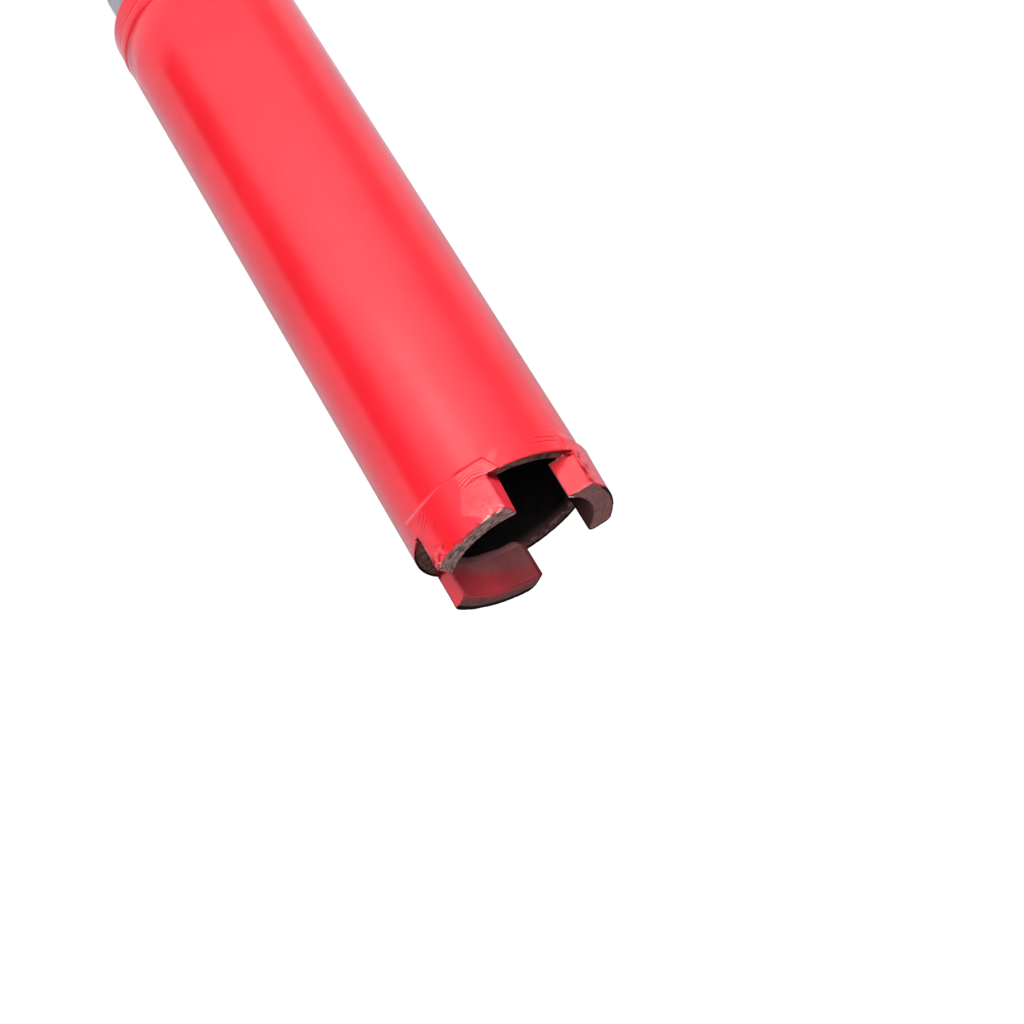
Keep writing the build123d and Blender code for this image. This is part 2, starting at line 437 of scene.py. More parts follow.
# a dull copy of the paint, put where painted shade lies
M_SHADE = paint("paint_dulled_for_shade", 0.06)
# black painted shade for rims that are turned away
M_RIM_SHADE = rim_shade_black()
M_END = tube_end()
M_INSIDE = tube_inside()
M_STEEL = steel("hub_steel")
M_BRAZE = braze_mat()
# segment 2's inner face goes near black towards the tube: painted shade deep in the crown
LOOK = {
    1: ((0.225, 0.128, 0.123), (0.20, 0.06, 0.06), (0.42, 0.03, 0.04), 0.0),
    2: ((0.205, 0.083, 0.082), (0.009, 0.0025, 0.003), (0.062, 0.007, 0.011), 0.0),
    3: ((0.128, 0.048, 0.045), (0.33, 0.092, 0.096), (0.45, 0.032, 0.046), -0.19),
}
# painted, bare and dulled places of each segment; the dulled copy carries black and dark painted shade
M_SEG = {n: [segment_mat(n, *LOOK[n], "painted", 0.36 if n == 3 else 0.5),
             segment_mat(n, *LOOK[n], "bare", 0.16),
             segment_mat(n, *LOOK[n], "scorched", 0.04)] for n in LOOK}


# ---------------------------------------------------------------- the outside of the crown
# Where the two ends of each segment lie across its middle line, and how round its upright edges are
SHAPE = {
    1: dict(minus=9.95, plus=10.22, out_m=0.22, out_p=0.35, in_m=0.90, in_p=0.60),
    2: dict(minus=10.20, plus=9.95, out_m=0.70, out_p=0.30, in_m=0.95, in_p=0.12),
    3: dict(minus=9.95, plus=10.10, out_m=0.35, out_p=1.70, in_m=0.80, in_p=0.15),
}


def settle(number, u, v, w, t, zt):
    """Where a point of the segment's plain form really lies, in the segment's own axes: jigged by hand, ground and worn unevenly."""
    u, v, w, t, zt = np.broadcast_arrays(*(np.asarray(x, float) for x in (u, v, w, t, zt)))
    shift, skew = SEGS[number][1], math.radians(SEGS[number][2])
    if number == 1:
        v = v + 0.60 * (1 - zt / 8.4) * (1 - w) * np.maximum(-t, 0) ** 2 + 0.30 * (1 - w) * np.maximum(-t, 0) ** 2
    if number == 2:
        u = u + (0.03 + 0.030 * np.minimum(zt, 11.5)) * w
    du = u - SEG_MID - shift
    return SEG_MID + shift + du * math.cos(skew) - v * math.sin(skew), du * math.sin(skew) + v * math.cos(skew)


def ridge_line(number, th):
    """Upper edge of the ground pad, mm below the tips, at local angle th."""
    th = np.asarray(th, float)
    if number == 1:
        return np.interp(th, (-34, -5, 10, 22, 34), (11.95, 12.0, 11.85, 12.1, 12.8))
    if number == 2:
        return np.interp(th, (-34, -10, 5, 20, 34), (12.2, 11.7, 11.1, 11.1, 11.6))
    return np.interp(th, (-34, 0, 34), (12.3, 12.0, 12.3))


def flat_side(zt):
    """Where the ground flat on segment 1 ends, in degrees."""
    return np.interp(zt, (0, 1.5, 2.5, 3.6, 4.6, 6.0, 8.0, 10.0, 12.0), (-14.5, -13, -10, -6, -5.6, -8.5, -11, -12.5, -12.5))


def relief(number, th, zt):
    """Unevenness of the outside of a segment and its pad, in mm, never outwards by more than a little."""
    th, zt = np.asarray(th, float), np.asarray(zt, float)
    s = np.radians(th) * 21.0
    o = np.zeros_like(s)
    d = -0.012 + 0.010 * vnoise(np.column_stack([s * 0.22, zt * 0.2, o]), 100 + number)
    if number == 1:
        b = flat_side(zt)
        e = -33.5
        k = 0.034 / (b - e)
        d = d - np.where((th < b) & (th > e), k * (b - th) * (th - e), 0)
        env, wave = strokes(th, zt)
        d = d + 0.009 * env * wave
        env, wave = scuffs(th, zt)
        d = d + 0.018 * env * wave
        env = smooth(11, 18, th) * (1 - smooth(2.0, 4.5, zt))
        d = d + 0.024 * env * fbm(np.column_stack([s * 0.9, zt * 1.1, o]), 125, 2)
        env = smooth(21, 28, th) * smooth(4.0, 6.0, zt)
        d = d + 0.018 * env * fbm(np.column_stack([s * 0.9, zt * 1.0, o]), 126, 2)
    else:
        patchy = smooth(-0.1, 0.5, vnoise(np.column_stack([s * 0.22, zt * 0.3, o]), 127 + number))
        wob = (1.5 if number == 2 else 3.2) * vnoise(np.column_stack([s * 0.4, zt * 0.6, o]), 131 + number)
        d = d + (0.014 if number == 2 else 0.006) * patchy * np.sin(2 * math.pi * zt / (0.62 if number == 2 else 0.8) + wob)
        d = d + 0.022 * smooth(20, 27, np.abs(th)) * fbm(np.column_stack([s * 0.9, zt * 0.9, o]), 135 + number, 2)
    return d


def strokes(th, zt):
    """Slanting strokes of the grinder on the round of segment 1, beyond its flat: where they are, and their wave."""
    s = np.radians(th) * 21.0
    o = np.zeros_like(s)
    wob = 2.2 * vnoise(np.column_stack([s * 0.50, zt * 0.5, o]), 121)
    env = smooth(10.0, 12.5, th) * (1 - smooth(19.5, 24.5, th)) * smooth(4.6, 5.8, zt) * (1 - smooth(10.9, 11.5, zt))
    dash = smooth(-0.75, -0.05, vnoise(np.column_stack([s * 0.45 - zt * 0.3, zt * 0.45 + s * 0.3, o]), 158))
    return env * dash, np.sin(2 * math.pi * (zt * 0.84 + s * 0.55) / 1.02 + wob)


def scuffs(th, zt):
    """Short arcs left by the grinder on the flat of segment 1: where they are, and their wave."""
    s = np.radians(th) * 21.0
    o = np.zeros_like(s)
    wob = 2.6 * vnoise(np.column_stack([s * 0.50, zt * 0.6, o]), 122)
    high = smooth(-29, -24, th) * (1 - smooth(-13, -8, th)) * smooth(7.0, 7.8, zt) * (1 - smooth(10.6, 11.2, zt))
    low = smooth(-27, -24, th) * (1 - smooth(-16, -13, th)) * smooth(0.9, 1.6, zt) * (1 - smooth(3.6, 4.4, zt))
    dash = smooth(-0.45, 0.05, vnoise(np.column_stack([s * 0.50, zt * 1.1, o]), 123))
    dots = smooth(-0.30, 0.20, vnoise(np.column_stack([s * 1.5, zt * 1.6, o]), 124))
    return high * dash + low * dots, np.sin(2 * math.pi * (zt + 0.010 * (th + 20) ** 2) / 0.70 + wob)


def tone_of(number, th, zt):
    """Painted highlight (+) and painted shade (-) on the outside of a segment and its pad, with random mottling and
    rubbed paint mixed in.
    """
    th, zt = np.asarray(th, float), np.asarray(zt, float)
    s = np.radians(th) * 21.0
    o = np.zeros_like(s)
    zr = ridge_line(number, th)
    cloud = vnoise(np.column_stack([s * 0.35, zt * 0.35, o]), 141 + number)
    t = np.zeros_like(s)
    if number == 1:
        b = flat_side(zt)
        # painted highlight over the ground flat, and a faint one beyond it
        t = t + (0.185 + 0.035 * cloud) * smooth(b + 0.5, b - 0.7, th) * (1 - smooth(11.6, 12.0, zt))
        t = t + 0.026 * smooth(b - 0.7, b + 0.5, th) * (1 - smooth(8, 15, th)) * (1 - smooth(11.6, 12.0, zt))
        # painted shade under the pad's ridge; painted highlight just below it and along its top
        t = t - 0.27 * bump(zt, zr + 0.22, 0.62) * smooth(-35, -31, th) * (1 - smooth(-15, -4, th)) * (0.95 + 0.45 * cloud)
        t = t + 0.10 * bump(zt, zr - 0.45, 0.35) * smooth(-32, -28, th) * (1 - smooth(-16, -9, th))
        t = t + 0.06 * bump(zt, zr, 0.20) * smooth(0, 6, th) * (1 - smooth(27, 32, th))
        # painted shade along the pad's lower edge
        low = -36.2 + (zt - 8.7) * 1.45
        t = t - 0.42 * bump(th, low + 0.2, 0.75) * smooth(8.6, 8.9, zt) * (1 - smooth(11.6, 12.0, zt))
        # painted highlight and painted shade along the grinder's scuffs and strokes
        env, wave = scuffs(th, zt)
        t = t + env * (0.06 * np.maximum(wave, 0) - 0.50 * smooth(0.1, 1.0, -wave))
        env, wave = strokes(th, zt)
        t = t + env * (0.05 * np.maximum(wave, 0) - 0.27 * smooth(-0.2, 0.9, -wave))
        mott = fbm(np.column_stack([s * 1.1, zt * 1.3, o]), 152, 2)
        t = t + smooth(11, 18, th) * (1 - smooth(2.4, 4.4, zt)) * (0.45 * np.clip(mott, 0, 1) - 1.3 * np.clip(-mott - 0.08, 0, 1))
        t = t + smooth(20, 27, th) * smooth(2.4, 4.4, zt) * (1 - smooth(8.0, 8.8, zt)) * (0.30 * np.clip(mott, 0, 1) - 0.6 * np.clip(-mott - 0.08, 0, 1))
        # painted highlight along the upright edge at th 28 to 29
        t = t + 0.8 * smooth(-0.15, 0.35, vnoise(np.column_stack([o, zt * 1.4, o]), 153)) * smooth(28.1, 28.9, th) * (1 - smooth(8.4, 8.7, zt))
        # paint broken and rubbed pale at the leading corner
        t = t + 0.42 * smooth(-13, -22, th) * (1 - smooth(0.5, 2.2, zt)) * smooth(-0.35, 0.35, mott)
        t = t - 1.1 * np.clip(-mott - 0.12, 0, 1) * (1 - smooth(0.3, 1.3, zt))
        # painted shade along the corner at th -28
        t = t - 0.55 * bump(th, -28.0, 0.95) * (1 - smooth(8.4, 8.8, zt)) * (0.8 + 0.4 * vnoise(np.column_stack([o, zt * 1.1, o]), 154))
    elif number == 2:
        # painted shade under the ridge, a painted sheen towards +th, and painted shade in a band before the outer edge
        t = t - 0.40 * bump(zt, zr + 0.15, 0.30) * (0.6 + 0.5 * cloud) * (1 - smooth(24, 33, np.abs(th)))
        t = t + 0.10 * smooth(8, 20, th) * (0.6 + 0.6 * cloud)
        rag = vnoise(np.column_stack([o, zt * 1.5, o]), 155)
        t = t - 0.34 * smooth(23.0 + 1.2 * rag, 25.5 + 0.8 * rag, th) * (1 - smooth(8.4, 8.8, zt))
        mott = fbm(np.column_stack([s * 1.2, zt * 1.0, o]), 156, 2)
        t = t + smooth(13, 20, th) * (1 - 0.6 * smooth(8.6, 9.4, zt)) * (0.34 * np.clip(mott, 0, 1) - 0.80 * np.clip(-mott - 0.05, 0, 1))
    else:
        # painted shade under the ridge
        t = t - 0.35 * bump(zt, zr + 0.15, 0.30) * (0.6 + 0.5 * cloud)
    return t


# ---------------------------------------------------------------- tube
def tube():
    z0 = 20.0
    z_out = np.concatenate([np.linspace(21.4, 148, 18), np.linspace(149, 160.3, 12), np.linspace(160.45, END_Z - 0.26, 50)])
    rings = [(TUBE_R, z) for z in z_out]
    rings += arc(TUBE_R - 0.22, END_Z - 0.22, 0.22, 12, 90, 5)
    n_out = len(rings)
    rings += [(r, END_Z) for r in np.linspace(TUBE_R - 0.38, TUBE_RI + 0.26, 14)]
    rings += arc(TUBE_RI + 0.2, END_Z - 0.2, 0.2, 90, 172, 4)
    n_end = len(rings)
    rings += [(TUBE_RI, z) for z in np.concatenate([np.linspace(END_Z - 0.4, 152, 14), np.linspace(146, 20.0, 8)])]
    rings += [(TUBE_R - 1.4, z0)]
    count = 560
    v, f, ring = lathe(rings, count)
    r = np.hypot(v[:, 0], v[:, 1])
    rad = v.copy(); rad[:, 2] = 0; rad /= r[:, None]
    zt = TIP_Z - v[:, 2]
    phi = np.arctan2(v[:, 1], v[:, 0])
    deg = np.degrees(phi)
    is_out = r > TUBE_R - 0.25
    s = phi * TUBE_R
    c, sn = np.cos(phi) * TUBE_R, np.sin(phi) * TUBE_R
    # a drawn tube is very slightly wavy; the grinder has touched it above the gullet beside segment 2
    d = 0.008 * vnoise(np.column_stack([c / 9, sn / 9, zt / 26]), 3)
    wob = 1.8 * vnoise(np.column_stack([c * 0.25, sn * 0.25, zt * 0.4]), 5)
    env = smooth(-172, -162, deg) * (1 - smooth(-134, -118, deg)) * smooth(8.8, 9.4, zt) * (1 - smooth(13.2, 15.4, zt))
    patchy = smooth(-0.7, 0.2, vnoise(np.column_stack([c * 0.09, sn * 0.09, zt * 0.6]), 6))
    wave = np.sin(2 * math.pi * (zt + 0.012 * (deg + 140)) / 1.15 + wob)
    d = d + 0.012 * env * patchy * wave
    v += rad * np.where(is_out, d - 0.006, 0)[:, None]
    # sawn end
    at_end = v[:, 2] > END_Z - 0.15
    grain = fbm(np.column_stack([v[:, 0] * 1.9, v[:, 1] * 1.9, zt * 0]), 21, 3)
    v[:, 2] += np.where(at_end, 0.07 * grain - 0.05, 0)
    # a burr stands along the outer edge of two of the gaps; its black is painted shade, set further down
    far = smooth(78, 92, deg) * (1 - smooth(132, 145, deg))
    left = smooth(-34, -22, deg) * (1 - smooth(22, 30, deg))
    v[:, 2] += (far + left) * 0.30 * smooth(20.05, 20.35, r) * smooth(END_Z - 0.5, END_Z - 0.2, v[:, 2])
    # and a small one inwards, in the gap beside segment 1
    lip = smooth(-24, -14, deg) * (1 - smooth(10, 18, deg)) * smooth(TUBE_RI + 1.1, TUBE_RI + 0.15, r) * smooth(END_Z - 1.2, END_Z - 0.5, v[:, 2])
    v -= rad * (0.45 * lip * (0.8 + 0.2 * grain))[:, None]
    inner = r < TUBE_RI + 0.02
    v -= rad * (inner * 0.02 * vnoise(v * (0.8, 0.8, 0.25), 31))[:, None]
    # painted highlight and painted shade along the grinder's ripples
    tone = np.where(is_out, env * patchy * (0.15 * np.maximum(wave, 0) - 0.26 * np.maximum(-wave, 0)), 0)
    # paler band over the gullet beside segment 1: rubbed paint, with a painted sheen
    band = smooth(-116, -104, deg) * (1 - smooth(-96.5, -94.5, deg)) * smooth(8.7, 9.0, zt) * (1 - smooth(11.5, 14.5, zt))
    strip = vnoise(np.column_stack([s * 0.55 + zt * 0.45, zt * 0.22, zt * 0]), 7)
    tone = tone + is_out * band * (0.12 + 0.12 * np.clip(strip, -0.6, 1))
    # painted shade line above the pad of segment 1 runs over onto the tube
    th1 = deg - SEGS[1][0]
    over_ridge = is_out * (th1 > -37) * (th1 < 0) * smooth(11.6, 11.8, zt) * (zt < 13.8)
    tone = tone + np.minimum(tone_of(1, th1, zt), 0) * over_ridge
    # paint has drawn back from the sawn edge; a painted highlight runs along it beside segments 1 and 2
    rim = is_out * bump(zt, 8.62, 0.16) * smooth(-0.5, 0.3, vnoise(np.column_stack([c * 0.5, sn * 0.5, zt * 0]), 32))
    tone = tone + 0.40 * rim * (bump(deg, -101, 5) + 0.6 * bump(deg, -150, 5))
    # painted shade along the outer edge over the gap between segments 1 and 3
    tone = tone - 0.95 * is_out * bump(zt, 8.55, 0.36) * smooth(-42, -35, deg) * (1 - smooth(24, 34, deg))
    over_at = 20.36 - 0.34 * np.clip(0.35 + vnoise(np.column_stack([c * 0.30, sn * 0.30, zt * 0]), 33), 0, 1)
    over = smooth(over_at - 0.06, over_at + 0.06, r)
    # painted shade: a dark maroon band inside the outer edge of the sawn end
    end_shade_at = 19.75 - 0.65 * np.clip(0.2 + vnoise(np.column_stack([c * 0.35, sn * 0.35, zt * 0]), 34), -0.5, 1)
    # the painted shade band reaches further in beside segment 2
    end_shade_at = end_shade_at - 0.9 * bump(deg, -149, 9)
    painted_end_shade = smooth(end_shade_at - 0.25, end_shade_at + 0.25, r) * (0.85 + 0.3 * grain)
    # black painted shade along the burr at the outer edge of the two gaps
    taper = np.clip(far + left * smooth(-26, 0, deg), 0, 1)
    edge_r = 20.50 - 0.34 * taper + 0.05 * grain
    rag = 0.10 * fbm(np.column_stack([c * 0.9, sn * 0.9, zt * 0.9]), 244, 3)
    black_rim_shade = (taper > 0.02) * smooth(edge_r - 0.06, edge_r + 0.06, r) * (1 - smooth(8.62 + 0.20 * taper, 8.70 + 0.26 * taper, zt + rag))
    over = over * (1 - np.clip(far + smooth(-45, -35, deg) * (1 - smooth(24, 34, deg)), 0, 1))
    # less of the band where the burr stands, and a deep patch of painted shade in the gap beside segment 1
    painted_end_shade = painted_end_shade * (1 - 0.8 * np.clip(far + left, 0, 1))
    painted_end_shade = np.clip(painted_end_shade + 0.8 * smooth(-42, -34, deg) * (1 - smooth(-26, -14, deg)) * smooth(19.0, 19.8, r), 0, 1)
    idx = np.where(ring < n_out - 2, 0, np.where(ring < n_end, 1, 2))
    # dulled paint copy where painted shade lies
    idx = np.where((idx == 0) & (mean_of(tone, f) < -0.16), 4, idx)
    idx = np.where((mean_of(black_rim_shade, f) > 0.15) & (ring < n_end), 3, idx)
    idx = np.where((mean_of(lip, f) > 0.25) & (idx == 2), 1, idx)
    return build("tube", v, f, [M_PAINT, M_END, M_INSIDE, M_RIM_SHADE, M_SHADE], idx, ("barrel",), dict(tone=tone, over=over, painted_end_shade=np.clip(painted_end_shade, 0, 1), black_rim_shade=np.clip(black_rim_shade, 0, 1)))


# ---------------------------------------------------------------- segments
def segment(number):
    ang, shift, skew = SEGS[number]
    form = SHAPE[number]
    a = math.radians(ang)
    m, t = np.array([math.cos(a), math.sin(a)]), np.array([-math.sin(a), math.cos(a)])
    r_out, r_in = SEG_R, SEG_R - SEG_T
    nw, nv = 40, 190
    s = np.linspace(0, 1, nw + 1)
    w = 0.55 * (0.5 - 0.5 * np.cos(math.pi * s)) + 0.45 * s
    tv = np.linspace(-1, 1, nv + 1)
    tv = np.sign(tv) * (1 - (1 - np.abs(tv)) ** 1.15)

    def corner(d, rho):
        d = np.clip(d, 0, rho)
        return rho - np.sqrt(np.maximum(rho * rho - (rho - d) ** 2, 0))

    d_in, d_out = w * SEG_T, (1 - w) * SEG_T
    reach_m = form["minus"] - corner(d_in, form["in_m"]) - corner(d_out, form["out_m"])
    reach_p = form["plus"] - corner(d_in, form["in_p"]) - corner(d_out, form["out_p"])
    T, W = np.meshgrid(tv, w)
    V = np.where(T < 0, T * reach_m[:, None], T * reach_p[:, None])
    u = (1 - W) * np.sqrt(r_in ** 2 - V ** 2) + W * np.sqrt(r_out ** 2 - V ** 2) + shift
    ids = np.arange((nw + 1) * (nv + 1)).reshape(nw + 1, nv + 1)
    loop = np.concatenate([ids[nw, :], ids[-2::-1, nv], ids[0, -2::-1], ids[1:-1, 0]])
    U0, V0, W0, T0 = u.ravel(), V.ravel(), W.ravel(), T.ravel()
    SU, SV = settle(number, U0, V0, W0, T0, 0.0)
    P = SU[:, None] * m + SV[:, None] * t
    LP = P[loop]
    # distance of every grid point from the plan's edge
    dist = np.full(len(P), 1e9)
    sg = np.diff(np.vstack([LP, LP[:1]]), axis=0)
    for c0 in range(0, len(P), 1500):
        q = P[c0:c0 + 1500, None, :] - LP[None, :, :]
        tt = np.clip((q * sg[None]).sum(2) / np.maximum((sg ** 2).sum(1), 1e-12)[None], 0, 1)
        dist[c0:c0 + 1500] = np.linalg.norm(q - tt[..., None] * sg[None], axis=2).min(1)
    P3 = np.column_stack([P, np.zeros(len(P))])
    d_o, d_i = (1 - W0) * SEG_T, W0 * SEG_T
    d_m, d_p = (T0 + 1) * 10.0, (1 - T0) * 10.0
    # worn and broken edges
    chip = np.clip(fbm(P3 * 1.5, 40 + number, 3) - 0.08, 0, 1)
    wide = np.clip(vnoise(P3 * 0.5, 60 + number) - 0.2, 0, 1)
    near_out = smooth(1.2, 0.2, d_o)
    near_in = smooth(1.4, 0.3, d_i)
    rho = 0.16 + {1: 1.6, 2: 0.5, 3: 0.6}[number] * near_out * (0.5 * chip + 0.35 * wide)
    rho = rho + {1: 0.10, 2: 0.06, 3: 0.10}[number] * near_in * (1 + 0.4 * vnoise(P3 * 0.4, 61 + number))
    if number == 2:
        rho = rho + 0.18 * near_out + 0.42 * near_in * smooth(9.0, 6.5, V0)
    z_top = TIP_Z - corner(dist, rho)
    top = np.column_stack([P, z_top])
    # the cutting face: grooves along the cut, grit standing out of the matrix
    r_, ph_ = np.hypot(P[:, 0], P[:, 1]), np.arctan2(P[:, 1], P[:, 0])
    groove = vnoise(np.column_stack([r_ * 1.7, ph_ * 4.0, r_ * 0]), 70 + number) + 0.7 * vnoise(np.column_stack([r_ * 3.6, ph_ * 9.0, r_ * 0]), 80 + number)
    grit = fbm(np.column_stack([P * 2.2, P[:, :1] * 0]), 90 + number, 3)
    amount = {1: 1.6, 2: 0.4, 3: 0.6}[number]
    top[:, 2] -= smooth(0.0, 0.3, dist) * amount * (0.050 * (groove + 1.4) + 0.045 * (grit + 1))
    top[:, 2] = np.minimum(top[:, 2], TIP_Z - 0.002)
    # upright walls, down to the end of the tube
    nz = 84
    rho_l = rho[loop]
    base = END_Z - 0.02
    lv = np.linspace(0, 1, nz + 1)[1:]
    zz = (TIP_Z - rho_l)[None, :] + (base - (TIP_Z - rho_l))[None, :] * lv[:, None]
    L = len(loop)
    n_top = len(P)
    WU, WV, WW, WT = (np.tile(x[loop], nz) for x in (U0, V0, W0, T0))
    zt = TIP_Z - zz.ravel()
    LU, LV = settle(number, WU, WV, WW, WT, zt)
    walls = np.column_stack([LU[:, None] * m + LV[:, None] * t, zz.ravel()])
    v = np.concatenate([top, walls])
    f = [np.stack([ids[i, :-1], ids[i, 1:], ids[i + 1, 1:], ids[i + 1, :-1]], 1) for i in range(nw)]
    nxt = np.roll(np.arange(L), -1)
    prev = loop
    for k in range(nz):
        cur = n_top + k * L + np.arange(L)
        f.append(np.stack([prev, cur, cur[nxt], prev[nxt]], 1))
        prev = cur
    back0 = len(v)
    BU, BV = settle(number, U0, V0, W0, T0, TIP_Z - base)
    v = np.concatenate([v, np.column_stack([BU[:, None] * m + BV[:, None] * t, np.full(len(P), base)])])
    remap = np.arange(len(v))
    remap[back0 + loop] = prev
    for i in range(nw):
        f.append(remap[np.stack([ids[i, :-1], ids[i + 1, :-1], ids[i + 1, 1:], ids[i, 1:]], 1) + back0])
    f = np.concatenate(f)
    # which wall a point is on
    th = np.degrees(np.arctan2(LV, LU))
    outer = smooth(0.93, 0.985, WW)
    inner = 1 - smooth(*{1: (0.02, 0.12), 2: (0.02, 0.10), 3: (0.10, 0.22)}[number], WW)
    side_m = smooth(-0.93, -0.985, WT) * (1 - outer) * (1 - inner)
    side_p = smooth(0.93, 0.985, WT) * (1 - outer) * (1 - inner)
    wr = np.hypot(WU, WV)
    q = np.column_stack([WU, WV, zt])
    fade = smooth(0.15, 0.6, zt)
    # outside: shared relief, tucked under the pad at its foot
    d_r = (relief(number, th, zt) * fade - 0.03 * smooth(8.2, 8.6, zt)) * outer
    rad = walls[:, :2] / np.linalg.norm(walls[:, :2], axis=1, keepdims=True)
    walls[:, :2] += rad * d_r[:, None]
    # ends: slightly uneven, with a fillet of filler at the foot
    h = np.maximum(8.6 - zt, 0)
    foot = {1: 0.75, 2: 0.55, 3: 0.7}[number] * (1 + 0.35 * vnoise(q * (0.9, 0.9, 0.2), 160 + number))
    if number == 1:
        foot = foot + 0.45 * side_p
    flare = foot * (1 - np.sqrt(np.maximum(1 - (1 - np.clip(h / foot, 0, 1)) ** 2, 0)))
    reach = smooth(17.6, 18.2, wr)
    if number == 1:
        reach = np.maximum(reach, side_p * smooth(16.6, 17.2, wr))
    flare = flare * reach * (1 - 0.8 * smooth(20.75, 21.0, wr))
    uneven = 0.020 * vnoise(q * 0.35, 170 + number) + 0.010 * fbm(q * 0.9, 175 + number, 2) - 0.015
    lumps = 0.05 * fbm(q * 1.6, 180 + number, 2) * smooth(1.6, 0.6, h)
    if number == 2:
        lumps = lumps * 1.4
    d_p = (uneven + lumps) * fade + flare
    walls[:, :2] += t * (d_p * side_p)[:, None] - t * (d_p * side_m)[:, None]
    # inside
    d_n = (0.020 * vnoise(q * 0.3, 190 + number) - 0.01) * fade * inner
    walls[:, :2] -= rad * d_n[:, None]
    v[n_top:n_top + len(walls), :2] = walls[:, :2]
    # marks
    n_all = len(v)
    wall = slice(n_top, n_top + len(walls))
    tone, bare, inn, pale, black_rim_shade, stain, across, painted_side_light = (np.zeros(n_all) for _ in range(8))
    tone[wall] = tone_of(number, th, zt) * outer
    mott = fbm(q * 1.25, 200 + number, 2)
    side = side_m + side_p
    if number == 2:
        # painted shade: a dim wedge on the near side of segment 2
        tri = smooth(-1.6, 1.2, (zt - 4.9) - (WU - 13.0) * 1.3)
        tone[wall] += side_p * (-0.24 * tri * smooth(15.8, 13.8, WU))
        speck = smooth(0.15, 0.5, fbm(q * 2.1, 207, 2))
        # painted shade at the foot of the side, broken by pale specks
        foot_tone = smooth(1.15, 0.55, h + 0.30 * mott) * smooth(12.6, 13.6, WU)
        tone[wall] += side_p * foot_tone * (-0.95 + 1.5 * speck)
        # painted highlight near the tip, painted shade along the outer corner, and the whole side a little paler
        tone[wall] += side_p * 0.30 * smooth(0.55, 0.25, zt) * smooth(-0.4, 0.3, mott)
        tone[wall] -= side_p * 0.45 * bump(WU, 18.25, 0.22) * smooth(-0.6, 0.2, mott)
        tone[wall] += side_p * 0.05
    else:
        # painted shade at the foot of each side, under the end of the tube
        tone[wall] += side * (-1.0 * smooth(1.5, 0.35, h + 0.3 * mott))
    if number == 1:
        # painted highlight along the inner rim near the tip, dark speckle at the tip, painted shade along the outer
        # corner and at the foot of the far side
        tone[wall] += side_m * (0.22 * smooth(15.6, 14.6, WU) * smooth(4.0, 1.0, zt) + 0.12 * smooth(15.2, 14.4, WU))
        tone[wall] += side_m * (-0.25 * smooth(0.1, 0.5, fbm(q * 1.6, 205, 2)) * smooth(1.4, 0.4, zt))
        tone[wall] -= side_m * 0.40 * bump(WU, 18.2, 0.40)
        tone[wall] -= side_p * 0.55 * smooth(3.0, 1.2, h)
        # painted light: a brighter red over this side, away from its foot
        painted_side_light[wall] = side_m * smooth(18.5, 17.9, WU) * smooth(0.6, 1.7, h)
    inn[wall] = inner
    inn[:n_top] = 1 - smooth(*((0.30, 0.40) if number > 1 else (0.0, 0.08)), W0)
    across[wall] = WV * MM
    across[:n_top] = V0 * MM
    # bare face: paint creeps over the edges in tongues
    tongue = vnoise(np.column_stack([V0 * 0.55, W0 * 0, W0 * 0]), 210 + number) + 0.6 * vnoise(np.column_stack([V0 * 1.5, W0 * 0, W0 * 0]), 215 + number)
    if number == 1:
        reach_o = 0.10 + 0.55 * np.clip(tongue + 0.1, 0, 1) * (0.5 + bump(V0, 0, 5.0)) + 0.35 * bump(V0, 0.5, 3.0)
        reach_i, reach_s = 0.05, 0.08
    elif number == 2:
        reach_o = 0.10 + 0.15 * np.clip(tongue, 0, 1)
        reach_i, reach_s = 0.05, 0.25 + 0.30 * np.clip(tongue, 0, 1)
    else:
        reach_o = 0.05
        reach_i, reach_s = 0.10 + 0.2 * np.clip(tongue, 0, 1), 0.25
    edge_m, edge_p = (T0 + 1) * form["minus"], (1 - T0) * form["plus"]
    free = np.minimum(np.minimum(d_o - reach_o, d_i - reach_i), np.minimum(edge_m, edge_p) - reach_s)
    bare[:n_top] = 0.5 + free / 0.16
    lip = 0.10 + {1: 0.35, 2: 0.15, 3: 0.15}[number] * np.clip(fbm(np.column_stack([WU * 1.2, WV * 1.2, zt * 0]), 220 + number, 2), 0, 1)
    bare[wall] = 0.5 + (lip - zt) / 0.12
    if number == 2:
        # unpainted filler at the foot beside the gullet
        filler = side_p * smooth(1.15, 0.85, h + 0.9 * mott) * smooth(17.6, 16.4, WU + 1.2 * mott) * smooth(0.35, 0.10, speck)
        bare[wall] = np.maximum(bare[wall], filler)
        stain[wall] += 0.9 * filler
    bare = np.clip(bare, 0, 1)
    # pale flecks where the paint has broken at the outer edge
    fl = vnoise(np.column_stack([V0 * 1.25, d_o * 1.5, V0 * 0]), 230 + number)
    amount = {1: 1.0, 2: 0.15, 3: 0.0}[number]
    more = 1 + (0.6 * smooth(-1.5, -5.5, V0) if number == 1 else 0)
    pale[:n_top] = amount * more * smooth(0.05 - 0.25 * (more - 1), 0.45, fl) * bump(d_o - reach_o, 0.04, 0.14 + 0.10 * (more - 1))
    fl = vnoise(np.column_stack([WV * 1.25, zt * 1.8, WV * 0]), 230 + number)
    more = 1 + (0.6 * smooth(-1.5, -5.5, WV) if number == 1 else 0)
    pale[wall] = amount * more * smooth(0.05 - 0.25 * (more - 1), 0.45, fl) * bump(zt, lip + 0.10 * (more - 1), 0.16 + 0.10 * (more - 1)) * outer
    if number == 1:
